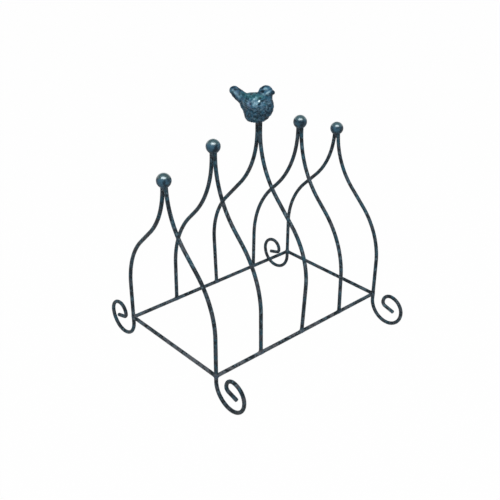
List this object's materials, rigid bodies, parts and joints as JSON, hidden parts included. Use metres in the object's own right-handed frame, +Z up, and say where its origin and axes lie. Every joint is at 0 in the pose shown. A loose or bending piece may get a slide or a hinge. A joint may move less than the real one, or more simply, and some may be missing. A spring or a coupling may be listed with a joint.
{
  "type": "toast rack",
  "caption": "Painted wire toast rack: welded base frame, ogee arches of paired wires, scroll feet, ball finials and a cast bird on the centre arch; holds toast on edge between the arches.",
  "frame": {"origin": "on the table under the middle of the rack, at the level of the lowest points of the scroll feet", "axes": "+X along the side rails towards the right-hand end, -Y towards the front, +Z up"},
  "size_m": [0.1804, 0.1642, 0.2018],
  "materials": {
    "rail_paint": "semi-gloss blue-green enamel on steel wire",
    "arch_paint": "semi-gloss blue-green enamel on steel wire",
    "ball_paint": "semi-gloss blue-green enamel on steel balls",
    "bird_paint": "blue-green enamel with rubbed teal highlights on a casting",
    "weld_paint": "semi-gloss blue-green enamel over weld beads"
  },
  "bodies": {
    "root": {"front_side_rail": "rail_paint", "rear_side_rail": "rail_paint", "left_end_bar": "rail_paint", "right_end_bar": "rail_paint", "left_end_arch_front_wire": "arch_paint", "left_end_arch_rear_wire": "arch_paint", "left_inner_arch_front_wire": "arch_paint", "left_inner_arch_rear_wire": "arch_paint", "centre_arch_front_wire": "arch_paint", "centre_arch_rear_wire": "arch_paint", "right_inner_arch_front_wire": "arch_paint", "right_inner_arch_rear_wire": "arch_paint", "right_end_arch_front_wire": "arch_paint", "right_end_arch_rear_wire": "arch_paint", "left_end_ball": "ball_paint", "left_inner_ball": "ball_paint", "right_inner_ball": "ball_paint", "right_end_ball": "ball_paint", "bird": "bird_paint", "corner_welds": "weld_paint", "rail_welds": "weld_paint", "finial_fillets": "weld_paint"}
  },
  "joints": []
}
